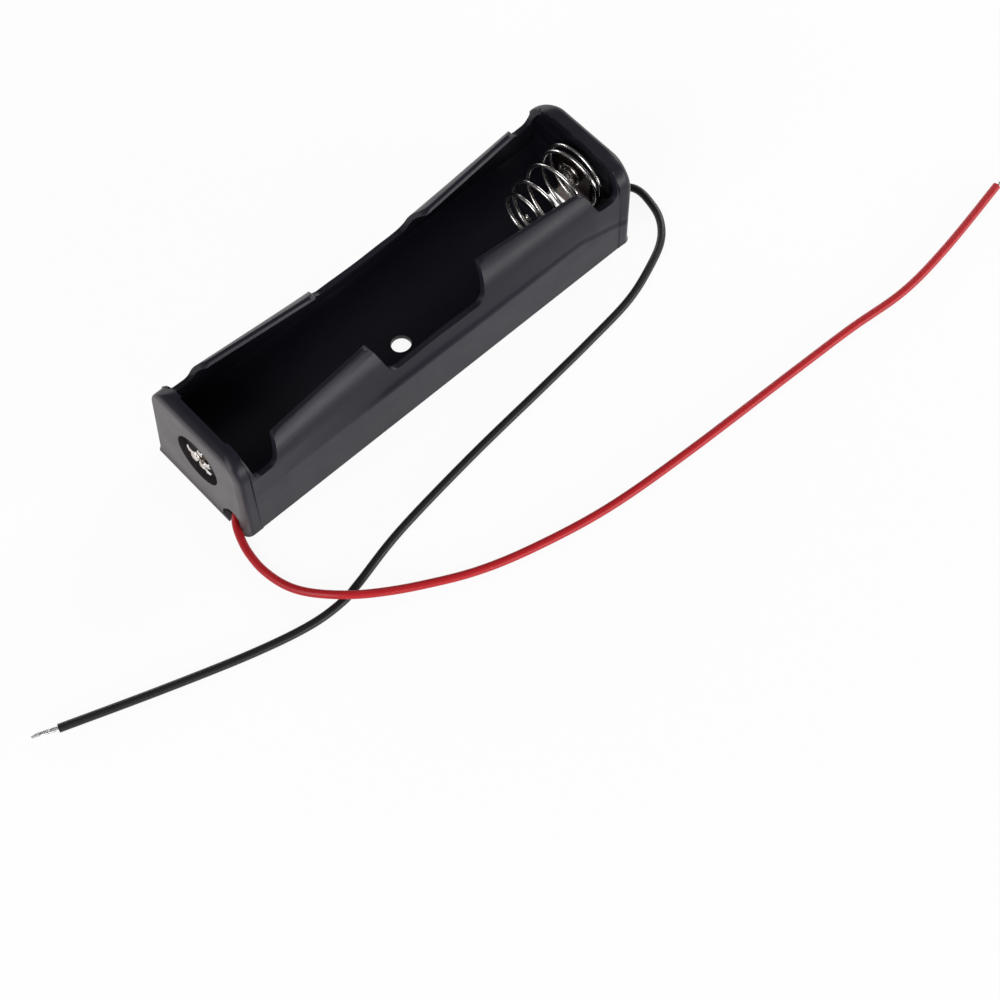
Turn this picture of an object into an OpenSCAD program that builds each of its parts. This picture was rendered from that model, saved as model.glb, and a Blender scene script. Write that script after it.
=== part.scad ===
// Holder for one cylindrical cell, with riveted contacts, a conical spring and two leads.
// X runs along the cell, from the positive end (-X) to the spring end (+X). Z is up, and the
// origin is on the underside, at the middle of the tray.

/* [Cell] */
// Diameter of the cell
cell_d = 18.2; // [17.6:0.1:18.6]
// Length of the cell
cell_l = 65; // [62:0.5:70]
// Radial room between the cell and the cradle
cell_gap = 0.15; // [0.1:0.05:0.4]

/* [Tray] */
// Height of the end walls
end_h = 18.5; // [17.5:0.1:20]
// Thickness of the end walls
end_t = 2.5; // [2:0.1:3.5]
// Height of the side wings
wing_h = 17.7; // [17.2:0.1:17.9]
// Thickness of the side walls
wall_t = 0.9; // [0.7:0.05:1.2]
// Thickness of the cradle under the cell
floor_t = 0.95; // [0.8:0.05:1.4]
// Inward slope of the outer faces, per millimetre of height
draft = 0.02; // [0.01:0.005:0.03]
// How far the end walls stand out past the side walls
end_step = 0.1; // [0.05:0.05:0.3]
// How far the wings are pinched in at mid-length
pinch = 2.8; // [1:0.1:3.2]

/* [Wings] */
// Middle of the finger window, along X
window_x = -0.1; // [-3:0.1:3]
// Length of the finger window at its bottom
window_l = 18.2; // [12:0.2:22]
// Height of the bottom of the finger window
window_z = 12.1; // [11:0.1:13]
// Length of the slope at each side of the finger window
window_slope = 1.7; // [1:0.1:4]
// Height of the bottom of the notches beside the end walls
notch_z = 13.4; // [13:0.1:15]
// Length of those notches at their bottom
notch_l = 3.7; // [3:0.1:5]
// Length of the slope from a notch up to the wing
notch_slope = 1.6; // [1:0.1:3]

/* [Screw hole] */
// Diameter of the screw hole in the floor
screw_d = 3.2; // [2.5:0.1:4]
// Place of the screw hole along X
screw_x = -0.7; // [-10:0.1:10]
// Place of the screw hole along Y
screw_y = -0.9; // [-2:0.1:2]

/* [Contacts] */
// Height of the rivets and the spring's axis
contact_z = 9.7; // [9.2:0.1:10.4]
// Width of the contact plates
plate_w = 7.6; // [6:0.1:8.5]
// Thickness of the contact plates
plate_t = 0.4; // [0.3:0.05:0.5]
// Height of the top of the contact plates
plate_h = 12.6; // [12:0.1:16]
// Width of the contact plates' tails
tail_w = 6.4; // [5:0.1:7]
// Diameter of the rivets' shanks
rivet_d = 2.4; // [2:0.1:2.8]
// Diameter of the rivets' heads
head_d = 3.4; // [3.2:0.1:4]
// Thickness of the rivets' heads
head_t = 0.5; // [0.4:0.05:0.7]
// Diameter of the round recess in each end wall
recess_d = 8.8; // [8:0.1:10]
// Depth of that recess
recess_t = 1.5; // [1.2:0.1:1.6]

/* [Spring] */
// Diameter of the spring's wire
spring_wire = 0.6; // [0.5:0.05:0.7]
// Free length of the spring
spring_l = 12.6; // [11:0.1:15]
// Length of the spring behind a cell
spring_pressed = 6.7; // [6:0.1:8]

/* [Lead pockets] */
// Inside length of the pocket at the positive end
positive_pocket_l = 2.6; // [2.4:0.1:4]
// Inside length of the pocket at the spring end
negative_pocket_l = 6; // [4.5:0.1:8]
// Inside height of the pockets
pocket_h = 2.2; // [2.1:0.05:2.6]
// Thickness of the pockets' roofs and inner walls
pocket_wall = 0.9; // [0.7:0.05:1.2]
// Length of the slot in the roof that the tail passes, at the positive end
positive_slot_l = 1.7; // [1.2:0.1:2]
// Length of that slot at the spring end
negative_slot_l = 3.3; // [1.2:0.1:4]

/* [Leads] */
// Diameter of the leads
lead_d = 1.3; // [1.2:0.1:1.4]
// Diameter of the stripped strands
core_d = 0.8; // [0.6:0.05:0.9]

/* [Hidden] */
$fn = 64;
EPS = 0.01;

// The cell lies on the cradle, and its middle height sets the tray's width there
cradle_r = cell_d / 2 + cell_gap;
cell_z = floor_t + cradle_r;
wall_y = cradle_r + wall_t + draft * cell_z;
end_y = wall_y + end_step;
wall_in = wall_y - wall_t - draft * cell_z;

// Along X the tray holds the cell, two plates, the positive rivet's head and the pressed spring
bay_l = cell_l + head_t + 2 * plate_t + spring_pressed;
bay_x = bay_l / 2;
half_l = bay_x + end_t;

// Side walls: straight to arch_z, then curled inwards with radius arch_r
arch_z = notch_z;
arch_r = 6.2;
arch_angle = 48;
pinch_z = cell_z - 1.2;
pinch_end = bay_x - 2;
pinch_round = 6;
window_r = 2;
wing_r = 1.5;
notch_r = 1.5;

// End walls: radii of their upright, upper side, upper outer and upper inner edges
upright_r = 1.3;
shoulder_r = 4.4;
crown_r = 1.3;
crown_inner_r = 0.5;

// Pads, roofs and slots of the floor
pad_y = 4.5;
pocket_y = 6;
roof_z = pocket_h + pocket_wall;
tail_gap = 0.2;
slot_y = tail_w / 2 + tail_gap;
cradle_wall = 0.9;

// The lead passes each end wall through a notch at its foot
notch_outline = [[-9.1, -EPS, 0], [-4.4, -EPS, 0], [-4.4, 1.9, 0.3], [-5.9, 3.6, 0.6],
                 [-7.7, 4.1, 0.8], [-9.1, 3, 0.8]];

// Contact plates: height of the tail's end and radius of the upper corners
plate_foot = 0.9;
plate_r = 2;

// Rivets: a clearance in the hole, a bore in the shank and four petals turned over
rivet_gap = 0.05;
web_t = end_t - recess_t;
bore_r = rivet_d / 2 - 0.4;
petal_t = 0.35;
petal_bend = 0.75;
petal_drop = 25;
petal_l = 0.9;

// Spring: radius and share of the free length at each turn from its base. The inner loop of
// the base lies round the rivet, and the coils round an axis that is off it.
spring_gap = 0.1;
spring_start = 157;
spring_first = -1.4;
spring_turns = 5.1;
loop_r = rivet_d / 2 + spring_gap + spring_wire / 2;
spring_radii = [[spring_first, loop_r], [-0.7, loop_r], [-0.15, 5.4], [0, 5.6], [1, 5.4], [2, 5.2],
                [3, 4.6], [4, 4.2], [spring_turns, 2.5]];
spring_shares = [[0, 0], [1, 0.065], [2, 0.33], [3, 0.66], [4, 0.91], [spring_turns, 1]];
spring_offset = [-1.2, 1.3];
spring_shift = [[-0.7, 0], [0, 1]];
spring_steps = 18;
spring_x = bay_x - plate_t - spring_gap - spring_wire / 2;

// Routes of the leads, from the pockets to the stripped ends
ring_step = 3 * lead_d;
red_route = [[-35.3, -3.9, 1], [-35.7, -4.8, 1], [-36.6, -5.6, 1], [-37.9, -6.4, 1], [-39, -7.6, 1],
             [-40, -9.8, 0.9], [-40.7, -12.5, 0.8], [-40.9, -16, 0.7], [-40.2, -20, 0.9],
             [-38.6, -23.6, 1.6], [-35.5, -27.4, 2.2], [-31.6, -30.2, 1.6], [-25.8, -33.4, 0.8],
             [-18, -37.3, 0.7], [-9, -40.2, 0.7], [3, -42.7, 0.7], [18, -44, 0.7], [40, -45, 0.7],
             [52, -45.6, 0.7], [63, -46.5, 0.7], [74, -45.5, 0.7], [88.5, -43, 0.7]];
red_end = [92.4, -42.2, 0.7];
black_route = [[35.3, -3.9, 1], [35.8, -4.8, 1], [37, -5.5, 1], [38.2, -5.5, 1], [39.5, -5, 0.9],
               [40.6, -4.1, 0.9], [41.9, -3.1, 0.8], [43.5, -2.6, 0.8], [45, -3.1, 0.7],
               [46, -4.6, 0.7], [46, -7, 0.7], [44.9, -10.8, 0.7], [42.2, -14, 0.7],
               [37.8, -16.3, 0.7], [30.6, -18.7, 0.7], [21, -20, 0.7], [10, -21.1, 0.7],
               [-6, -22.6, 0.7], [-22, -24.7, 0.7], [-32, -27, 0.7], [-36, -27.7, 0.7],
               [-42, -27.3, 0.7], [-51, -25, 0.7], [-64, -20.6, 0.7], [-77.9, -15.5, 0.7]];
black_end = [-81.5, -13.9, 0.7];
// Strands in a pocket, on the spring end's side: from the lead to the plate's tail
core_route = [[bay_x - 1.2, -3.9, 1], [bay_x - 1.4, -3.4, 1], [bay_x - 1.3, -2.6, 1.1],
              [bay_x - 1, -1.8, 1.2], [bay_x - 1, -0.6, 1.2]];
solder_place = [bay_x - 1.1, -1.9, 1.1];
solder_r = 0.95;

function unit(v) = v / norm(v);
function flat(p) = [p.x, p.y];

// Arc of radius b.z in place of the corner b of an outline
function corner(a, b, c, n) =
    b.z == 0 ? [flat(b)] :
    let (
        u = unit(flat(a) - flat(b)),
        v = unit(flat(c) - flat(b)),
        half = acos(u * v) / 2,
        centre = flat(b) + unit(u + v) * b.z / sin(half),
        from = flat(b) + u * b.z / tan(half) - centre,
        turn = (180 - 2 * half) * sign(u.y * v.x - u.x * v.y)
    )
    [for (i = [0:n]) let (s = turn * i / n)
        centre + [from.x * cos(s) - from.y * sin(s), from.x * sin(s) + from.y * cos(s)]];

// Outline of points [x, y, r], each corner rounded with its radius r
function rounded(p, n = 6) =
    let (last = len(p) - 1)
    [for (i = [0:last]) each corner(p[i == 0 ? last : i - 1], p[i], p[i == last ? 0 : i + 1], n)];

// Solid through rings that all have the same even number of points. Its two end faces are strips
// between a ring's first half and its second half.
module skin(rings) {
    n = len(rings[0]);
    m = len(rings);
    strip = [for (k = [0:n / 2 - 2])
        each [[k, k + 1, n - 2 - k], [k, n - 2 - k, n - 1 - k]]];
    last = (m - 1) * n;
    ends = concat(strip, [for (t = strip) [last + t[2], last + t[1], last + t[0]]]);
    sides = [for (i = [0:m - 2], k = [0:n - 1])
        let (a = i * n + k, b = i * n + (k + 1) % n)
        each [[a, b + n, b], [a, a + n, b + n]]];
    polyhedron([for (r = rings) each r], concat(ends, sides));
}

// Round bar along a path, square to its ends. No step of the path may follow the vector up.
module bar(path, r, sides, up) {
    last = len(path) - 1;
    skin([for (i = [0:last])
        let (
            ahead = unit(path[min(i + 1, last)] - path[max(i - 1, 0)]),
            across = unit(cross(ahead, up)),
            over = cross(across, ahead)
        )
        [for (k = [0:sides - 1]) path[i] + r * (cos(360 * k / sides) * over + sin(360 * k / sides) * across)]]);
}

// Smooth curve through the points of a route, with a point at least every ring_step, and no
// lower than a lead lies on a flat surface
function smooth(p) =
    let (
        last = len(p) - 1,
        curve = [for (i = [0:last - 1])
            let (
                a = p[max(i - 1, 0)],
                b = p[i],
                c = p[i + 1],
                d = p[min(i + 2, last)],
                n = max(1, round(norm(c - b) / ring_step))
            )
            for (k = [0:n - 1])
                let (t = k / n)
                b + (c - a) * t / 2 + (2 * a - 5 * b + 4 * c - d) * t * t / 2
                    + (3 * b - a - 3 * c + d) * t * t * t / 2]
    )
    [for (q = concat(curve, [p[last]])) [q.x, q.y, max(q.z, lead_d / 2)]];

module lead(route) {
    bar(smooth(route), lead_d / 2, 8, [0, 0, 1]);
}

module tip(route, end) {
    bar([route[len(route) - 1], end], core_d / 2, 8, [0, 0, 1]);
}

// How far a side wall leans in at the place x and the height z
function pinch_at(x, z) =
    let (
        reach = norm([pinch_end, pinch_round]) - pinch_round,
        near = norm([x, pinch_round]) - pinch_round
    )
    pinch * (1 - min(1, near / reach)) * max(0, z - pinch_z) / (wing_h - pinch_z);

// A side wall's section at x, with its outer face before its inner one
function wall_ring(x) =
    let (
        levels = [0, pinch_z, arch_z],
        arch = [for (s = [8:8:arch_angle]) s],
        foot_y = function (z) wall_y - draft * z,
        arch_y = foot_y(arch_z) - arch_r,
        outer = [
            for (z = levels) [foot_y(z), z],
            for (s = arch) [arch_y + arch_r * cos(s), arch_z + arch_r * sin(s)]
        ],
        inner = [
            for (i = [len(arch) - 1:-1:0])
                [arch_y + (arch_r - wall_t) * cos(arch[i]), arch_z + (arch_r - wall_t) * sin(arch[i])],
            for (i = [2:-1:0]) [foot_y(levels[i]) - wall_t, levels[i]]
        ]
    )
    [for (p = concat(outer, inner)) [x, p.x - pinch_at(x, p.y), p.y]];

// Side view of a side wall
function wall_outline() =
    let (
        notch_far = bay_x - 0.9,
        notch_near = notch_far - notch_l,
        wing_x = notch_near - notch_slope,
        left = window_x - window_l / 2,
        right = window_x + window_l / 2,
        end_x = half_l
    )
    rounded([
        [-end_x, -1, 0], [-end_x, end_h, 0], [-notch_far - 0.8, end_h, 0],
        [-notch_far, notch_z, notch_r], [-notch_near, notch_z, notch_r], [-wing_x, wing_h, wing_r],
        [left - window_slope, wing_h, wing_r], [left, window_z, window_r],
        [right, window_z, window_r], [right + window_slope, wing_h, wing_r],
        [wing_x, wing_h, wing_r], [notch_near, notch_z, notch_r], [notch_far, notch_z, notch_r],
        [notch_far + 0.8, end_h, 0], [end_x, end_h, 0], [end_x, -1, 0]
    ]);

// Extrusion along Y of an outline in X and Z, and along X of an outline in Y and Z
module across_y(outline, width) {
    rotate([90, 0, 0]) linear_extrude(width, center = true) polygon(outline);
}

module along_x(outline, from, to) {
    translate([from, 0, 0]) rotate([90, 0, 90]) linear_extrude(to - from) polygon(outline);
}

module side_wall() {
    steps = 12;
    end_x = half_l - upright_r;
    intersection() {
        skin([for (i = [0:steps]) wall_ring(end_x * (2 * i / steps - 1))]);
        across_y(wall_outline(), 4 * wall_y);
    }
}

// The spring end's wall, rounded in all three views
module end_wall() {
    top_y = end_y - draft * end_h;
    top_x = half_l - draft * end_h;
    intersection() {
        linear_extrude(end_h) polygon(rounded([[bay_x, -end_y, 0], [half_l, -end_y, upright_r],
            [half_l, end_y, upright_r], [bay_x, end_y, 0]]));
        along_x(rounded([[-end_y, 0, 0], [end_y, 0, 0], [top_y, end_h, shoulder_r],
            [-top_y, end_h, shoulder_r]]), bay_x, half_l);
        across_y(rounded([[bay_x, 0, 0], [half_l, 0, 0], [top_x, end_h, crown_r],
            [bay_x, end_h, crown_inner_r]]), 2 * end_y);
    }
}

// What the spring end's wall loses: the recess, the rivet's hole and the lead's notch
module end_cuts() {
    translate([half_l - recess_t, 0, contact_z]) rotate([0, 90, 0]) cylinder(d = recess_d, h = recess_t + 1);
    translate([bay_x - 1, 0, contact_z]) rotate([0, 90, 0]) cylinder(r = rivet_d / 2 + rivet_gap, h = end_t);
    along_x(rounded(notch_outline), bay_x - EPS, half_l + 1);
}

// Cradle under the cell and the flat pad that it stands on
module cradle() {
    top_z = cell_z - sqrt(max(0, pow(cradle_r, 2) - pow(wall_in, 2)) + 2);
    intersection() {
        translate([-bay_x, 0, cell_z]) rotate([0, 90, 0]) cylinder(r = cradle_r + cradle_wall, h = bay_l, $fn = 96);
        translate([-bay_x, -wall_y + wall_t / 2, 0]) cube([bay_l, 2 * wall_y - wall_t, top_z]);
    }
    translate([-bay_x, -pad_y, 0]) cube([bay_l, 2 * pad_y, cell_z / 3]);
}

module cell_room() {
    translate([-bay_x, 0, cell_z]) rotate([0, 90, 0]) cylinder(r = cradle_r, h = bay_l, $fn = 96);
}

// Roof and inner wall of the spring end's pocket
module pocket_cover(length) {
    translate([bay_x - length - pocket_wall, -pocket_y, 0])
        cube([length + pocket_wall, 2 * pocket_y, roof_z]);
}

// Room in the spring end's pocket and the slot in its roof
module pocket_room(length, slot_l) {
    translate([bay_x - length, -pocket_y, -1]) cube([length, 2 * pocket_y, pocket_h + 1]);
    translate([bay_x - slot_l, -slot_y, 0]) cube([slot_l, 2 * slot_y, roof_z + 1]);
}

module holder_body() {
    color("#1c1c1e") difference() {
        union() {
            difference() {
                cradle();
                cell_room();
            }
            side_wall();
            mirror([0, 1, 0]) side_wall();
            end_wall();
            mirror([1, 0, 0]) end_wall();
            pocket_cover(negative_pocket_l);
            mirror([1, 0, 0]) pocket_cover(positive_pocket_l);
        }
        end_cuts();
        mirror([1, 0, 0]) end_cuts();
        pocket_room(negative_pocket_l, negative_slot_l);
        mirror([1, 0, 0]) pocket_room(positive_pocket_l, positive_slot_l);
        translate([screw_x, screw_y, -1]) cylinder(d = screw_d, h = cell_z);
    }
}

// The spring end's contact plate, from its rounded top to the tail in the pocket
module contact_plate() {
    tail_y = tail_w / 2;
    side_y = plate_w / 2;
    shoulder_z = roof_z + tail_gap;
    color("#b8b0a2") difference() {
        along_x(rounded([[-tail_y, plate_foot, 0.4], [tail_y, plate_foot, 0.4],
            [tail_y, shoulder_z, 0], [side_y, shoulder_z, 0], [side_y, plate_h, plate_r],
            [-side_y, plate_h, plate_r], [-side_y, shoulder_z, 0], [-tail_y, shoulder_z, 0]]),
            bay_x - plate_t, bay_x);
        translate([bay_x - 1, 0, contact_z]) rotate([0, 90, 0]) cylinder(r = rivet_d / 2 + rivet_gap, h = 2);
    }
}

module positive_plate() {
    mirror([1, 0, 0]) contact_plate();
}

module negative_plate() {
    contact_plate();
}

// Half section of the turned-over petals, from the shank's end: radius, then height
function petal_section() =
    let (
        mid = rivet_d / 2 - petal_t / 2,
        centre = [mid + petal_bend, 0],
        at = function (r, s) centre + r * [cos(s), sin(s)],
        outer = petal_bend + petal_t / 2,
        inner = petal_bend - petal_t / 2,
        last = 90 - petal_drop,
        ahead = petal_l * [cos(petal_drop), -sin(petal_drop)],
        steps = [for (s = [180:-23:last]) s]
    )
    concat([for (s = steps) at(outer, s)], [at(outer, last) + ahead, at(inner, last) + ahead],
        [for (i = [len(steps) - 1:-1:0]) at(inner, steps[i])]);

// A split rivet of the spring end, with its head at the given distance from the plate
module rivet(stand) {
    shank_l = stand + plate_t + web_t;
    color("#d8d4cc") translate([bay_x - plate_t - stand, 0, contact_z]) rotate([0, 90, 0]) {
        translate([0, 0, -head_t]) cylinder(d = head_d, h = head_t);
        difference() {
            cylinder(d = rivet_d, h = shank_l);
            translate([0, 0, shank_l - 1]) cylinder(r = bore_r, h = 2);
        }
        translate([0, 0, shank_l]) difference() {
            rotate_extrude($fn = 40) polygon(petal_section());
            for (s = [45:90:315]) rotate([0, 0, s])
                linear_extrude(6, center = true) polygon([[0.8, 0], [3.6, 1], [3.6, -1]]);
        }
    }
}

module positive_rivet() {
    mirror([1, 0, 0]) rivet(0);
}

module negative_rivet() {
    rivet(spring_wire + 2 * spring_gap);
}

// Centre of the spring's wire at a turn counted from its base
function spring_point(turn) =
    let (
        r = lookup(turn, spring_radii),
        reach = (spring_l - spring_wire) * lookup(turn, spring_shares),
        middle = [0, contact_z] + spring_offset * lookup(turn, spring_shift),
        s = spring_start - 360 * turn
    )
    [spring_x - reach, middle.x + r * cos(s), middle.y + r * sin(s)];

module negative_spring() {
    count = round((spring_turns - spring_first) * spring_steps);
    step = (spring_turns - spring_first) / count;
    path = [for (i = [0:count]) spring_point(spring_first + step * i)];
    color("#d9dadb") bar(path, spring_wire / 2, 6, [1, 0, 0]);
}

module red_lead() {
    color("#d83a34") lead(red_route);
}

module black_lead() {
    color("#222224") lead(black_route);
}

module red_tip() {
    color("#c4c6c8") tip(red_route, red_end);
}

module black_tip() {
    color("#c4c6c8") tip(black_route, black_end);
}

module core() {
    color("#c98a5a") bar(core_route, core_d / 2, 8, [0, 0, 1]);
}

module red_core() {
    mirror([1, 0, 0]) core();
}

module black_core() {
    core();
}

// Solder on the spring end's tail
module solder() {
    color("#aeb1b4") difference() {
        translate(solder_place) sphere(solder_r, $fn = 24);
        core();
        translate([bay_x - plate_t, -plate_w, 0]) cube([end_t, 2 * plate_w, plate_h]);
    }
}

module positive_solder() {
    mirror([1, 0, 0]) solder();
}

module negative_solder() {
    solder();
}

holder_body();
positive_plate();
positive_rivet();
negative_plate();
negative_rivet();
negative_spring();
red_lead();
black_lead();
red_core();
black_core();
red_tip();
black_tip();
positive_solder();
negative_solder();
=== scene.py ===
"""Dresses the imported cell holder: moulded tray, riveted contacts, conical spring and two leads."""

from math import cos, pi, radians, sin, sqrt

import bmesh
import bpy
from mathutils import Matrix, Vector


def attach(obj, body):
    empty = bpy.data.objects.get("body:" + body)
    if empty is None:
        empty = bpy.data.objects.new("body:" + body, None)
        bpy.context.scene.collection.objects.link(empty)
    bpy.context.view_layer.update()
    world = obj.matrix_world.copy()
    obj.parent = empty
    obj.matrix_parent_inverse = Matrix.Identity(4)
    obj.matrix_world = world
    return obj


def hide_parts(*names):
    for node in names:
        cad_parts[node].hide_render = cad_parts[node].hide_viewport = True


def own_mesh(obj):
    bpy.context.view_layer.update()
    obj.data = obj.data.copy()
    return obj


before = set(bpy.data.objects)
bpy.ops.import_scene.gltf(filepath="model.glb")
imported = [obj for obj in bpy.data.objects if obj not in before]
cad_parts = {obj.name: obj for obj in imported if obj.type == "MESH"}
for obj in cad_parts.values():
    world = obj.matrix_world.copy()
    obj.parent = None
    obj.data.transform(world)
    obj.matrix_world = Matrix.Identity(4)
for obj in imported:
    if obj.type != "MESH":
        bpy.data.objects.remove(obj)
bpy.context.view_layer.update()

# Sizes are in millimetres, or in metres for the camera, the floor and the lamps, and angles are in degrees
MM = 0.001

# Shared with the solid model: height of the rivets' axis, X of the plates' inner faces, and diameters of a
# rivet's tube and of a lead
CONTACT_Z = 9.7
PLATE_X = 36.1
RIVET_D = 2.4
LEAD_D = 1.3

# Tray: half its length, X of the inner faces of its end walls, draft of its side walls, and how far the end
# walls stand out past them
HALF_L = 39
BAY_X = 36.5
WALL_DRAFT = 0.02
END_STEP = 0.1
# End walls: half their width, their height, and the reach and height of the lip along their foot
END_Y = 10.45
END_H = 18.5
FOOT = 0.25
FOOT_H = 0.8
# How far an end wall laps over the side walls, and how thick that lap is
LAP = 0.3
LAP_W = 0.5
# Each end wall: its drafts along X and Y, the radii of its top edge, its shoulders and its upright edges at
# the front and the back, and how far it stands out past the side walls
SPRING_END = {
    "draft_x": 0.007, "draft_y": 0, "crown_r": 0.6, "shoulder_r": 4.9,
    "front_r": 1.4, "back_r": 2.3, "step": 0.01,
}
POSITIVE_END = {
    "draft_x": 0.022, "draft_y": 0.035, "crown_r": 1.9, "shoulder_r": 4.2,
    "front_r": 1.3, "back_r": 0.4, "step": 0.1,
}
# The least flat beside an upright edge
EDGE_FLAT = 0.1
# Heights of an end wall's rings below its rounded top, and steps round an upright edge and over the top
END_LEVELS = [0, FOOT_H, 4, 8, 12]
CORNER_STEPS = 8
CROWN_STEPS = 12
# The rivet's hole through an end wall, the recess outside it, and the lead's notch in pairs of Y and Z
HOLE_R = 1.25
RECESS_D = 8.8
RECESS_T = 1.5
NOTCH = [
    (-8.6, -1), (-6.2, -1), (-6.2, 0.35), (-4.6, 0.35), (-4.6, 1.4), (-4.8, 1.8), (-5.9, 3.2), (-6.4, 3.6),
    (-7.3, 3.8), (-7.8, 3.6), (-8.4, 3), (-8.6, 2.5),
]
# How far the shapes that cut these reach past the wall, and how many sides the round ones have
CUT_PAST = 1
DISC_SIDES = 64
# Side walls: heights at which their mesh is cut, beside the crease where they lean in and below their curl
CREASES = (8.5, 9.5, 12.8)
# Height from which, and X up to which, their edges are rounded as rims
RIM_Z = 12.3
RIM_X = BAY_X - 1
# Rounding of a rim's outer edge, and the shares of it on a rim's inner edge and on the tray's other edges
RIM_BEVEL = 0.4
INNER_RIM_SHARE = 0.2
EDGE_SHARE = 0.5
# Sink line along the front wall: its height, where it starts, where it begins to dip and by how much, and
# the Y that it lies past
SINK_Z = 10.2
SINK_START = -16
SINK_DIP_X = 28
SINK_DIP = 3.4
SINK_Y = -8

# Rolled petals of a rivet: each one's direction from Y towards Z, half width and share of the reach
PETALS = [
    (20, 0.36, 1.1), (-37, 0.56, 1), (95, 0.46, 0.84), (-98, 0.62, 0.9),
    (165, 0.38, 0.98), (-150, 0.4, 1.08),
]
# Along a petal: distance from the rivet's axis, height over the recess's floor, and share of the width
PETAL_RADII = [(0, 0.98), (0.3, 1.02), (0.4, 1.15), (1, 2.5)]
PETAL_HEIGHTS = [(0, -0.3), (0.3, 0.7), (0.4, 0.92), (0.55, 1.05), (0.8, 1.1), (1, 0.95)]
PETAL_WIDTHS = [(0, 0.9), (0.4, 0.95), (0.7, 1.25), (0.92, 1.2), (1, 0.95)]
# How far a petal's long edges curl down, its thickness, and the rounding of a rivet's edges
PETAL_CUP = 0.12
PETAL_T = 0.26
RIVET_BEVEL = 0.06
# How far below the recess's floor the rivet's whole tube ends
TUBE_END = 0.1

# Spring: its wire, its lengths, and the radius and reach of its coils at each turn from the base,
# whose inner loop lies round the rivet while the coils lie round an axis off it
SPRING_WIRE = 0.6
SPRING_GAP = 0.1
SPRING_L = 12.6
SPRING_START = 157
SPRING_FIRST = -1.4
SPRING_TURNS = 5.1
LOOP_R = RIVET_D / 2 + SPRING_GAP + SPRING_WIRE / 2
SPRING_RADII = [
    (SPRING_FIRST, LOOP_R), (-0.7, LOOP_R), (-0.15, 5.4), (0, 5.6), (1, 5.4), (2, 5.2), (3, 4.6),
    (4, 4.2), (SPRING_TURNS, 2.5),
]
SPRING_SHARES = [(0, 0), (1, 0.065), (2, 0.33), (3, 0.66), (4, 0.91), (SPRING_TURNS, 1)]
SPRING_OFFSET = (-1.2, 1.3)
SPRING_SHIFT = [(-0.7, 0), (0, 1)]
# Sides of the wire, its steps in each turn, and the share of its radius that its ends keep
WIRE_SIDES = 16
WIRE_STEPS = 40
WIRE_TIP = 0.75

# Routes of the leads from the pockets to the stripped ends, and where their bare strands end
RED_ROUTE = [
    (-35.3, -3.9, 1), (-35.7, -4.8, 1), (-36.6, -5.6, 1), (-37.9, -6.4, 1), (-39, -7.6, 1),
    (-40, -9.8, 0.9), (-40.7, -12.5, 0.8), (-40.9, -16, 0.7), (-40.2, -20, 0.9),
    (-38.6, -23.6, 1.6), (-35.5, -27.4, 2.2), (-31.6, -30.2, 1.6), (-25.8, -33.4, 0.8),
    (-18, -37.3, 0.7), (-9, -40.2, 0.7), (3, -42.7, 0.7), (18, -44, 0.7), (40, -45, 0.7),
    (52, -45.6, 0.7), (63, -46.5, 0.7), (74, -45.5, 0.7), (88.5, -43, 0.7),
]
RED_END = (92.4, -42.2, 0.7)
BLACK_ROUTE = [
    (35.3, -3.9, 1), (35.8, -4.8, 1), (37, -5.5, 1), (38.2, -5.5, 1), (39.5, -5, 0.9),
    (40.6, -4.1, 0.9), (41.9, -3.1, 0.8), (43.5, -2.6, 0.8), (45, -3.1, 0.7), (46, -4.6, 0.7),
    (46, -7, 0.7), (44.9, -10.8, 0.7), (42.2, -14, 0.7), (37.8, -16.3, 0.7), (30.6, -18.7, 0.7),
    (21, -20, 0.7), (10, -21.1, 0.7), (-6, -22.6, 0.7), (-22, -24.7, 0.7), (-32, -27, 0.7),
    (-36, -27.7, 0.7), (-42, -27.3, 0.7), (-51, -25, 0.7), (-64, -20.6, 0.7), (-77.9, -15.5, 0.7),
]
BLACK_END = (-81.5, -13.9, 0.7)
# Bare strands: how many, their radius, their steps and their twist in turns, how far they lie from the
# middle one, the share of that which they lose towards the end, and how unevenly they end
STRANDS = 7
STRAND_R = 0.13
STRAND_STEPS = 12
STRAND_TWIST = 0.55
STRAND_OFF = 0.26
STRAND_TAPER = 0.35
STRAND_UNEVEN = 0.06

# Distances within which points are joined and lie on a cut, and angles of edges that are flat and hard
WELD = 0.002
CUT_NEAR = 0.001
FLAT_ANGLE = 0.5
HARD_ANGLE = 30


# --- Shapes ---------------------------------------------------------------------------------


def add_object(name, data):
    """A new object in the scene."""
    made = bpy.data.objects.new(name, data)
    bpy.context.collection.objects.link(made)
    return made


def mesh_of(shape, name):
    """Mesh of a bmesh, which is freed."""
    data = bpy.data.meshes.new(name)
    shape.to_mesh(data)
    shape.free()
    return data


def solid_shape(node):
    """A bmesh of a CAD node with its loose triangles joined."""
    shape = bmesh.new()
    shape.from_mesh(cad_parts[node].data)
    bmesh.ops.remove_doubles(shape, verts=shape.verts, dist=WELD * MM)
    return shape


def cut(shape, place, normal, clear=False):
    """Cuts a bmesh along a plane through a place, and can clear what lies past it."""
    bmesh.ops.bisect_plane(
        shape, geom=shape.verts[:] + shape.edges[:] + shape.faces[:], dist=CUT_NEAR * MM,
        plane_co=[v * MM for v in place], plane_no=normal, clear_outer=clear,
    )


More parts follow.
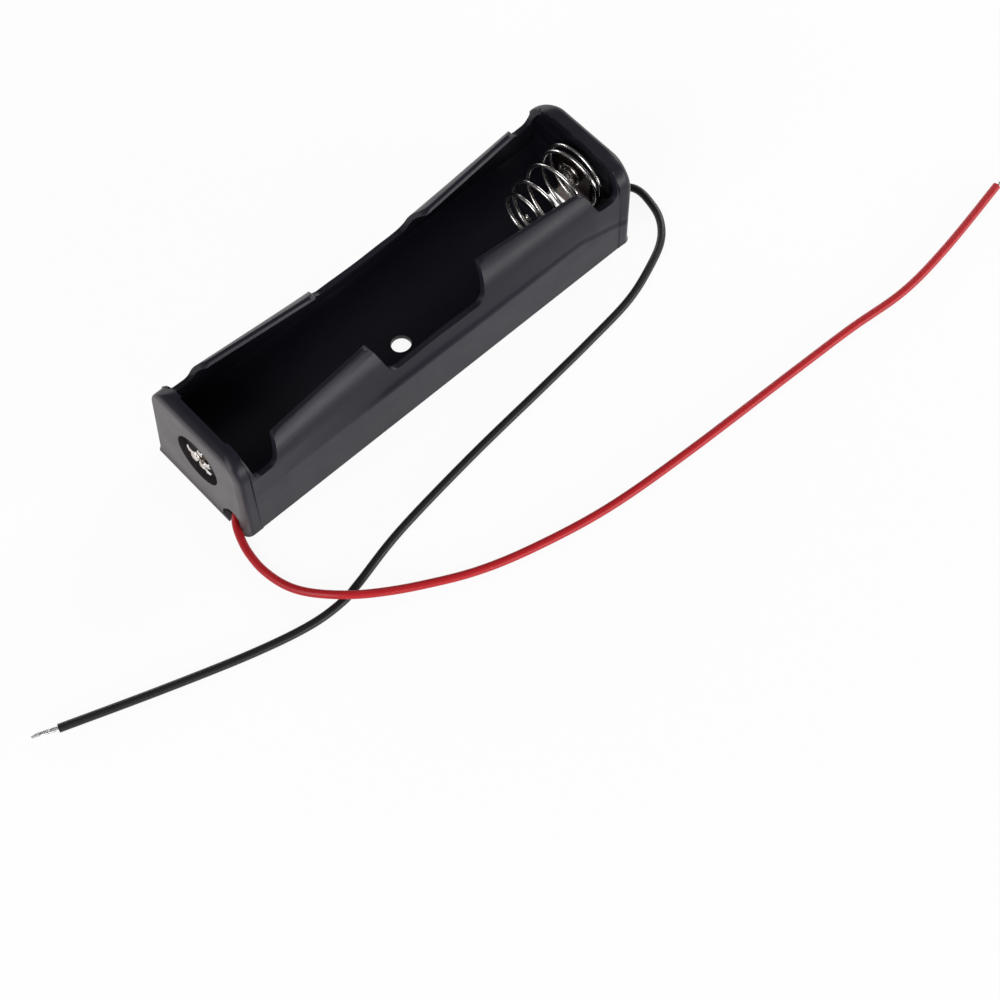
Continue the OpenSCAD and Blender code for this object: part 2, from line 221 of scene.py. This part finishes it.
def loft(name, rings):
    """Mesh with a closed skin through rings of points."""
    shape = bmesh.new()
    rows = [[shape.verts.new(Vector(point) * MM) for point in ring] for ring in rings]
    count = len(rows[0])
    for row, after in zip(rows, rows[1:]):
        for k in range(count):
            shape.faces.new((row[k], row[(k + 1) % count], after[(k + 1) % count], after[k]))
    shape.faces.new(rows[0][::-1])
    shape.faces.new(rows[-1])
    bmesh.ops.recalc_face_normals(shape, faces=shape.faces)
    return mesh_of(shape, name)


def lookup(value, table):
    """Value of a table of (place, level) rows, in straight lines between its rows."""
    before = table[0]
    for row in table:
        if value <= row[0]:
            span = row[0] - before[0]
            return row[1] if span == 0 else before[1] + (row[1] - before[1]) * (value - before[0]) / span
        before = row
    return before[1]


# --- Camera ---------------------------------------------------------------------------------


def add_camera(azimuth, elevation, roll, distance, target, lens):
    """Camera that looks at target from the given angles and distance."""
    a = radians(azimuth)
    e = radians(elevation)
    back = Vector((sin(a) * cos(e), -cos(a) * cos(e), sin(e)))
    right = Vector((cos(a), sin(a), 0))
    turned = Matrix.Rotation(radians(roll), 3, back) @ Matrix((right, back.cross(right), back)).transposed()
    data = bpy.data.cameras.new("camera")
    data.sensor_width = 36
    data.lens = lens
    data.clip_start = 0.01
    data.clip_end = 10
    camera = add_object("camera", data)
    camera.matrix_world = Matrix.Translation(Vector(target) + back * distance) @ turned.to_4x4()
    bpy.context.scene.camera = camera


add_camera(-42.48, 62.15, -0.24, 0.3409, (-0.00756, -0.03064, 0), 82.9)


# --- Shader maths ---------------------------------------------------------------------------


class Value:
    """A socket whose operators add Math nodes to its material."""

    def __init__(self, paint, socket):
        self.paint = paint
        self.socket = socket

    def __add__(self, other):
        return self.paint.math("ADD", self, other)

    def __sub__(self, other):
        return self.paint.math("SUBTRACT", self, other)

    def __rsub__(self, other):
        return self.paint.math("SUBTRACT", other, self)

    def __mul__(self, other):
        return self.paint.math("MULTIPLY", self, other)

    def __pow__(self, other):
        return self.paint.math("POWER", self, other)

    def __abs__(self):
        return self.paint.math("ABSOLUTE", self)

    __radd__ = __add__
    __rmul__ = __mul__


class Paint:
    """A material and the nodes that it is made of."""

    def __init__(self, name, **uniform):
        self.material = bpy.data.materials.new(name)
        self.material.use_nodes = True
        self.tree = self.material.node_tree
        self.shader = self.tree.nodes["Principled BSDF"]
        self.output = self.tree.nodes["Material Output"]
        self.feed(self.shader, uniform)

    def feed(self, node, inputs):
        """Sets or links sockets by name, with underscores for spaces, or by a letter and a number."""
        for key, value in inputs.items():
            socket = node.inputs[int(key[1:]) if key[1:].isdigit() else key.replace("_", " ")]
            if isinstance(value, Value):
                self.tree.links.new(value.socket, socket)
            else:
                socket.default_value = value

    def node(self, kind, result=0, settings=None, stops=None, **inputs):
        """An output of a new node with its settings, its ramp's stops and its sockets' values or links."""
        made = self.tree.nodes.new("ShaderNode" + kind)
        for key, value in (settings or {}).items():
            setattr(made, key, value)
        if stops:
            ramp = made.color_ramp.elements
            while len(ramp) < len(stops):
                ramp.new(1)
            for element, (place, level) in zip(ramp, stops):
                element.position = place
                element.color = (level, level, level, 1)
        self.feed(made, inputs)
        return Value(self, made.outputs[result])

    def math(self, operation, a, b=0):
        """Math node on one or two values."""
        return self.node("Math", settings={"operation": operation}, i0=a, i1=b)

    def mix(self, share, a, b):
        """Mix of two colours."""
        return self.node("Mix", 2, {"data_type": "RGBA"}, i0=share, i6=a, i7=b)

    def place(self):
        """Object coordinates."""
        return self.node("TexCoord", "Object")

    def noise(self, size, detail=2, stretch=(1, 1, 1)):
        """Noise whose lumps are about size across, on coordinates that are stretched along each axis."""
        place = self.node("Mapping", Vector=self.place(), Scale=stretch)
        return self.node("TexNoise", Vector=place, Scale=1 / (size * MM), Detail=detail)

    def ramp(self, value, *stops):
        """Level of a value between stops of (value, level)."""
        return self.node("ValToRGB", stops=stops, Fac=value)

    def bump(self, height, depth, strength):
        """Normal of a height from 0 to 1 that stands as high as depth."""
        return self.node("Bump", Height=height, Distance=depth * MM, Strength=strength)

    def finish(self, **inputs):
        """The material, with what changes over its surface."""
        self.feed(self.shader, inputs)
        return self.material


# --- Materials ------------------------------------------------------------------------------


def black_plastic():
    """Moulded plastic with flow lines, a fine grain, a sink line along its front wall, and end faces painted
    lighter where light falls on them.
    """
    paint = Paint("black_plastic", IOR=1.5, Specular_IOR_Level=0.06, Coat_Roughness=0.38)
    flow = paint.noise(9, 3, (0.25, 1, 1))
    grain = paint.noise(0.25, 2)
    rub = paint.ramp(paint.noise(4, 4), (0.42, 0), (0.7, 1))
    place = paint.place()
    x, y, z = (paint.node("SeparateXYZ", axis, Vector=place) * (1 / MM) for axis in range(3))

    from_rivet = paint.math("SQRT", y * y + (z - CONTACT_Z) ** 2)
    past_recess = paint.ramp((from_rivet - RECESS_D / 2) * 5, (0, 0), (1, 1))
    recess = paint.ramp(abs(x) - (HALF_L - 2), (0.2, 0), (0.5, 1)) * (1 - past_recess)
    # Painted light: the end faces are coloured lighter, as if lit, leaving out the recess round each rivet
    painted_light_end_face = paint.ramp(abs(x) - (HALF_L - 1), (0.1, 0), (0.5, 1)) * past_recess

    dip = paint.ramp((x - SINK_DIP_X) * 0.1, (0, 0), (1, 1)) * SINK_DIP
    off_line = abs(z + dip + flow * 1.2 - SINK_Z)
    started = paint.ramp((x - SINK_START) * 0.2, (0, 0), (1, 1))
    in_front = paint.math("LESS_THAN", y, SINK_Y)
    sink = paint.ramp(off_line, (0.25, 1), (1, 0)) * started * in_front

    colour = paint.mix(flow, (0.008, 0.0073, 0.0118, 1), (0.014, 0.0127, 0.02, 1))
    colour = paint.mix(recess, colour, (0.03, 0.026, 0.027, 1))
    return paint.finish(
        # The end faces' lighter colour is painted light
        Base_Color=paint.mix(painted_light_end_face, colour, (0.068, 0.06, 0.065, 1)),
        Roughness=0.34 + rub * 0.1 + flow * 0.06,
        Coat_Weight=(0.2 + flow * 0.2) * (1 - sink),
        Normal=paint.bump(flow * 0.3 + rub * 0.05 + grain * 0.02 + (1 - sink) * 0.6, 0.16, 0.4),
    )


def bare_metal(name, colour, dark, roughness, lump=0.6):
    """Bare or plated metal with a clouded, slightly stained surface."""
    paint = Paint(name, Metallic=1.0)
    cloud = paint.ramp(paint.noise(lump, 4), (0.35, 0), (0.75, 1))
    fine = paint.noise(0.12, 2)
    return paint.finish(
        Base_Color=paint.mix(cloud, colour, dark),
        Roughness=roughness + cloud * 0.12,
        Normal=paint.bump(cloud * 0.6 + fine * 0.4, 0.02, 0.4),
    )


def insulation(name, colour, dark):
    """Soft extruded plastic with a faint wave along it."""
    paint = Paint(name, IOR=1.5, Specular_IOR_Level=0.3)
    wave = paint.noise(3, 2)
    grain = paint.noise(0.15, 2)
    return paint.finish(
        Base_Color=paint.mix(wave, colour, dark),
        Roughness=0.36 + grain * 0.08,
        Normal=paint.bump(wave * 0.7 + grain * 0.3, 0.03, 0.4),
    )


TRAY = black_plastic()
# The plates' brown is tarnish, but their darkness is painted shade and a painted reflection of the black
# tray round them
PLATE = bare_metal("plated_strip", (0.09, 0.06, 0.048, 1), (0.045, 0.03, 0.025, 1), 0.38)
RIVET = bare_metal("plated_rivet", (0.8, 0.77, 0.76, 1), (0.3, 0.2, 0.14, 1), 0.2, 0.9)
SPRING = bare_metal("spring_wire", (0.66, 0.65, 0.64, 1), (0.42, 0.40, 0.38, 1), 0.2, 0.5)
RED = insulation("red_insulation", (0.42, 0.012, 0.017, 1), (0.34, 0.009, 0.013, 1))
BLACK = insulation("black_insulation", (0.008, 0.008, 0.009, 1), (0.013, 0.013, 0.014, 1))
COPPER = bare_metal("copper_strands", (0.80, 0.42, 0.25, 1), (0.55, 0.26, 0.15, 1), 0.3)
TINNED = bare_metal("tinned_strands", (0.72, 0.72, 0.72, 1), (0.42, 0.41, 0.40, 1), 0.28)
SOLDER = bare_metal("solder", (0.66, 0.67, 0.68, 1), (0.5, 0.5, 0.51, 1), 0.25, 0.8)


# --- Making pieces --------------------------------------------------------------------------


def dress(node, material):
    """Gives a CAD node a material."""
    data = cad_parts[node].data
    data.materials.clear()
    data.materials.append(material)
    for face in data.polygons:
        face.use_smooth = False


def add_piece(name, data, material, slot, body, *nodes):
    """A finished piece in place of CAD nodes."""
    data.materials.append(material)
    piece = add_object(name, data)
    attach(piece, body)
    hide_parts(*nodes)
    return piece


def smooth_edges(piece, width, segments):
    """Rounds a piece's weighted edges and shades it smooth."""
    for face in piece.data.polygons:
        face.use_smooth = True
    bevel = piece.modifiers.new("edges", "BEVEL")
    bevel.width = width * MM
    bevel.segments = segments
    bevel.limit_method = "WEIGHT"
    bevel.harden_normals = True
    bevel.use_clamp_overlap = True
    piece.modifiers.new("normals", "WEIGHTED_NORMAL").keep_sharp = True


def weigh_edges(shape, weight):
    """Gives each hard edge of a bmesh the bevel weight that a function tells from its middle and itself."""
    layer = shape.edges.layers.float.new("bevel_weight_edge")
    for edge in shape.edges:
        if edge.is_manifold and edge.calc_face_angle(0) > radians(HARD_ANGLE):
            edge[layer] = weight((edge.verts[0].co + edge.verts[1].co) / (2 * MM), edge)


# --- Leads ----------------------------------------------------------------------------------


def curve_line(name, points, radius):
    """A round curve through points, as smooth as the solid model's own."""
    data = bpy.data.curves.new(name, "CURVE")
    data.dimensions = "3D"
    data.resolution_u = 8
    data.bevel_depth = radius * MM
    data.bevel_resolution = 6
    data.use_fill_caps = True
    spline = data.splines.new("BEZIER")
    spline.bezier_points.add(len(points) - 1)
    places = [Vector(p) * MM for p in points]
    for i, place in enumerate(places):
        before = places[max(i - 1, 0)]
        after = places[min(i + 1, len(places) - 1)]
        point = spline.bezier_points[i]
        point.co = place
        point.handle_left = place - (after - before) / 6
        point.handle_right = place + (after - before) / 6
    return data


def add_lead(name, route, material, slot):
    """Insulation of a lead along its route."""
    data = curve_line(name, route, LEAD_D / 2)
    return add_piece(name + "_sleeve", data, material, slot, "holder", name)


def add_tip(name, start, end, slot):
    """Tinned strands twisted round a straight one, which close in towards the end."""
    begin = Vector(start)
    length = (Vector(end) - begin).length
    ahead = (Vector(end) - begin).normalized()
    across = ahead.cross(Vector((0, 0, 1))).normalized()
    over = across.cross(ahead)
    data = bpy.data.curves.new(name, "CURVE")
    data.dimensions = "3D"
    data.bevel_depth = STRAND_R * MM
    data.bevel_resolution = 3
    data.use_fill_caps = True
    for strand in range(STRANDS):
        reach = length * (1 - STRAND_UNEVEN * ((strand * 3) % 5))
        off = 0 if strand == STRANDS - 1 else STRAND_OFF
        spline = data.splines.new("POLY")
        spline.points.add(STRAND_STEPS)
        for step, point in enumerate(spline.points):
            share = step / STRAND_STEPS
            turn = 2 * pi * (strand / (STRANDS - 1) + STRAND_TWIST * share)
            spread = off * (1 - STRAND_TAPER * share)
            place = begin + ahead * reach * share + spread * (across * cos(turn) + over * sin(turn))
            point.co = (*(place * MM), 1)
    return add_piece(name + "_strands", data, TINNED, slot, "holder", name)


red_lead = add_lead("red_lead", RED_ROUTE, RED, "red_insulation")
black_lead = add_lead("black_lead", BLACK_ROUTE, BLACK, "black_insulation")
red_tip = add_tip("red_tip", RED_ROUTE[-1], RED_END, "tinned_strands")
black_tip = add_tip("black_tip", BLACK_ROUTE[-1], BLACK_END, "tinned_strands")
for lead, route, end_piece in ((red_lead, RED_ROUTE, red_tip), (black_lead, BLACK_ROUTE, black_tip)):
    tuple(v * MM for v in route[0])


# --- Tray -----------------------------------------------------------------------------------


def rounded_off(z, radius):
    """How far an edge at the top of an end wall is rounded off at a height."""
    above = max(0, z - (END_H - radius))
    return radius - sqrt(max(0, radius ** 2 - above ** 2))


def end_ring(z, end):
    """Outline of an end wall at a height, seen from above: pairs of X and Y."""
    lip = max(0, FOOT * (1 - z / FOOT_H))
    reach = HALF_L - end["draft_x"] * z - rounded_off(z, end["crown_r"]) + lip
    width = END_Y - end["draft_y"] * z - rounded_off(z, end["shoulder_r"])
    side = min(width, END_Y - WALL_DRAFT * z - END_STEP + end["step"])
    inner = [(BAY_X, side - LAP_W), (BAY_X - LAP, side - LAP_W), (BAY_X - LAP, side)]
    outline = [(x, -y) for x, y in inner]
    for corner_r, turn, first in ((end["front_r"], -1, -90), (end["back_r"], 1, 0)):
        radius = min(corner_r, reach - BAY_X - EDGE_FLAT)
        for step in range(CORNER_STEPS + 1):
            angle = radians(first + 90 / CORNER_STEPS * step)
            x = reach - radius + radius * cos(angle)
            outline.append((x, turn * (width - radius) + radius * sin(angle)))
    return outline + inner[::-1]


def disc(radius, start, end):
    """Rings of a cylinder along X round the rivets' axis."""
    turns = [2 * pi * k / DISC_SIDES for k in range(DISC_SIDES)]
    return [[(x, radius * cos(s), CONTACT_Z + radius * sin(s)) for s in turns] for x in (start, end)]


def end_wall(name, end, side):
    """Mesh of an end wall, on the given side of the tray, with its hole, recess and lead notch."""
    largest = max(end["crown_r"], end["shoulder_r"])
    rises = [sin(radians(90 / CROWN_STEPS * step)) for step in range(CROWN_STEPS + 1)]
    levels = END_LEVELS + [END_H - largest + largest * rise for rise in rises]
    wall = add_object(name, loft(name, [[(x, y, z) for x, y in end_ring(z, end)] for z in levels]))
    through = (BAY_X - CUT_PAST, HALF_L + CUT_PAST)
    cuts = {
        "_hole": disc(HOLE_R, *through),
        "_recess": disc(RECESS_D / 2, HALF_L - RECESS_T, HALF_L + CUT_PAST),
        "_notch": [[(x, y, z) for y, z in NOTCH] for x in through],
    }
    cutters = [add_object(name + kind, loft(name + kind, rings)) for kind, rings in cuts.items()]
    for cutter in cutters:
        boolean = wall.modifiers.new(cutter.name, "BOOLEAN")
        boolean.object = cutter
        boolean.solver = "EXACT"
    bpy.context.view_layer.update()
    data = bpy.data.meshes.new_from_object(wall.evaluated_get(bpy.context.evaluated_depsgraph_get()))
    data.transform(Matrix.Diagonal((side, 1, 1, 1)))
    if side < 0:
        data.flip_normals()
    for item in [wall] + cutters:
        bpy.data.objects.remove(item)
    return data


def rim_weight(middle, edge):
    """Bevel weight of an edge of the tray: the whole on a rim's outer edge and least on its inner edge."""
    if middle.z < RIM_Z or abs(middle.x) > RIM_X:
        return EDGE_SHARE
    leaning = sorted(edge.link_faces, key=lambda face: -face.normal.z)[1]
    return 1 if leaning.normal.y * middle.y > 0 else INNER_RIM_SHARE


def add_tray():
    """The moulded tray: the solid's middle between end walls with softer corners."""
    shape = solid_shape("holder_body")
    bmesh.ops.dissolve_limit(
        shape, angle_limit=radians(FLAT_ANGLE), verts=shape.verts, edges=shape.edges,
    )
    for z in CREASES:
        cut(shape, (0, 0, z), (0, 0, 1))
    for side in (-1, 1):
        cut(shape, (side * BAY_X, 0, 0), (side, 0, 0), clear=True)
    shape.from_mesh(end_wall("spring_end", SPRING_END, 1))
    shape.from_mesh(end_wall("positive_end", POSITIVE_END, -1))
    weigh_edges(shape, rim_weight)
    tray = add_piece("tray", mesh_of(shape, "tray"), TRAY, "tray", "holder", "holder_body")
    smooth_edges(tray, RIM_BEVEL, 4)


add_tray()


# --- Contacts -------------------------------------------------------------------------------


def add_petals(shape, side):
    """The split end of a rivet's tube, rolled out into the recess of an end wall."""
    for angle, width, reach in PETALS:
        out = Vector((0, cos(radians(angle)), sin(radians(angle))))
        along = Vector((1, 0, 0)).cross(out)
        strip = bmesh.new()
        bmesh.ops.create_grid(strip, x_segments=14, y_segments=4, size=1)
        for vert in strip.verts:
            share = (vert.co.x + 1) / 2
            radius = lookup(share, PETAL_RADII) * (1 + (reach - 1) * share)
            height = lookup(share, PETAL_HEIGHTS) * reach - PETAL_CUP * vert.co.y ** 2
            sideways = vert.co.y * width * lookup(share, PETAL_WIDTHS)
            place = out * radius + along * sideways
            vert.co = MM * Vector((side * (HALF_L - RECESS_T + height), place.y, CONTACT_Z + place.z))
        bmesh.ops.solidify(strip, geom=strip.faces[:], thickness=PETAL_T * MM)
        bmesh.ops.recalc_face_normals(strip, faces=strip.faces)
        data = mesh_of(strip, "petal")
        shape.from_mesh(data)
        bpy.data.meshes.remove(data)


def add_rivet(name, node, side):
    """A rivet: the solid's head and tube, with petals rolled out of the tube's far end."""
    shape = solid_shape(node)
    cut(shape, (side * (HALF_L - RECESS_T - TUBE_END), 0, 0), (side, 0, 0), clear=True)
    bmesh.ops.bridge_loops(shape, edges=[edge for edge in shape.edges if edge.is_boundary])
    add_petals(shape, side)
    weigh_edges(shape, lambda middle, edge: 1)
    rivet = add_piece(name, mesh_of(shape, name), RIVET, "rivet", "holder", node)
    smooth_edges(rivet, RIVET_BEVEL, 2)


for side in ("positive", "negative"):
    dress(side + "_plate", PLATE)
    dress(side + "_solder", SOLDER)
for colour in ("red", "black"):
    dress(colour + "_core", COPPER)
add_rivet("positive_rivet_rolled", "positive_rivet", -1)
add_rivet("negative_rivet_rolled", "negative_rivet", 1)


# --- Spring ---------------------------------------------------------------------------------


def spring_point(turn):
    """Centre of the wire at a turn counted from the spring's base."""
    radius = lookup(turn, SPRING_RADII)
    reach = (SPRING_L - SPRING_WIRE) * lookup(turn, SPRING_SHARES)
    shift = lookup(turn, SPRING_SHIFT)
    angle = radians(SPRING_START - 360 * turn)
    return Vector((
        PLATE_X - SPRING_GAP - SPRING_WIRE / 2 - reach,
        SPRING_OFFSET[0] * shift + radius * cos(angle),
        CONTACT_Z + SPRING_OFFSET[1] * shift + radius * sin(angle),
    ))


def wire_rings():
    """Rings of points round the spring's wire, which narrows at its two ends."""
    turns = SPRING_TURNS - SPRING_FIRST
    count = round(turns * WIRE_STEPS)
    path = [spring_point(SPRING_FIRST + turns * i / count) for i in range(count + 1)]
    sides = [2 * pi * k / WIRE_SIDES for k in range(WIRE_SIDES)]
    rings = []
    for i, centre in enumerate(path):
        ahead = (path[min(i + 1, count)] - path[max(i - 1, 0)]).normalized()
        across = ahead.cross(Vector((1, 0, 0))).normalized()
        over = across.cross(ahead)
        radius = SPRING_WIRE / 2 * (WIRE_TIP if i in (0, count) else 1)
        rings.append([centre + radius * (over * cos(s) + across * sin(s)) for s in sides])
    return rings


def add_spring():
    """The wire spring as one tube."""
    data = loft("spring", wire_rings())
    for face in data.polygons:
        face.use_smooth = len(face.vertices) == 4
    spring = add_piece("spring_coils", data, SPRING, "spring_wire", "holder", "negative_spring")
    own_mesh(spring)


add_spring()


# --- Stage ----------------------------------------------------------------------------------


def add_floor(half, plain):
    """Floor that takes the object's shadow, and by a share is plain white to camera and reflections."""
    paint = Paint("floor")
    camera_ray, glossy_ray, transmission_ray = (
        paint.node("LightPath", "Is " + kind + " Ray") for kind in ("Camera", "Glossy", "Transmission")
    )
    seen = camera_ray + glossy_ray + transmission_ray
    matt = paint.node("BsdfDiffuse", Color=(0.9, 0.9, 0.9, 1))
    white = paint.node("Emission", Color=(1, 1, 1, 1), Strength=1.0)
    paint.feed(paint.output, {"Surface": paint.node("MixShader", i0=seen * plain, i1=matt, i2=white)})
    shape = bmesh.new()
    bmesh.ops.create_grid(shape, x_segments=1, y_segments=1, size=half)
    data = mesh_of(shape, "floor")
    data.materials.append(paint.material)
    floor = add_object("floor", data)


def add_lamp(name, place, target, size, power):
    """Rectangular lamp at a place, turned to its target."""
    data = bpy.data.lights.new(name, "AREA")
    data.shape = "RECTANGLE"
    data.size, data.size_y = size
    data.energy = power
    lamp = add_object(name, data)
    lamp.location = place
    lamp.rotation_euler = (Vector(target) - Vector(place)).to_track_quat("-Z", "Y").to_euler()


def add_world(level):
    """Even white light from all round."""
    world = bpy.data.worlds.new("studio")
    world.use_nodes = True
    sky = world.node_tree.nodes["Background"].inputs
    sky["Color"].default_value = (1, 1, 1, 1)
    sky["Strength"].default_value = level
    bpy.context.scene.world = world


add_floor(1.5, 0.92)
add_world(0.12)
add_lamp("key", (-0.6, -0.12, 0.36), (0, 0, 0), (0.5, 0.5), 4.2)
add_lamp("fill", (0.64, 0.1, 0.28), (0, 0, 0), (0.4, 0.4), 3)
add_lamp("band", (0.2, -0.6, 0.1), (0, 0, 0.01), (0.9, 0.16), 4.5)
add_lamp("back", (0.1, 0.6, 0.14), (0, 0, 0.01), (0.9, 0.16), 2)
bpy.context.scene.view_settings.view_transform = "Standard"
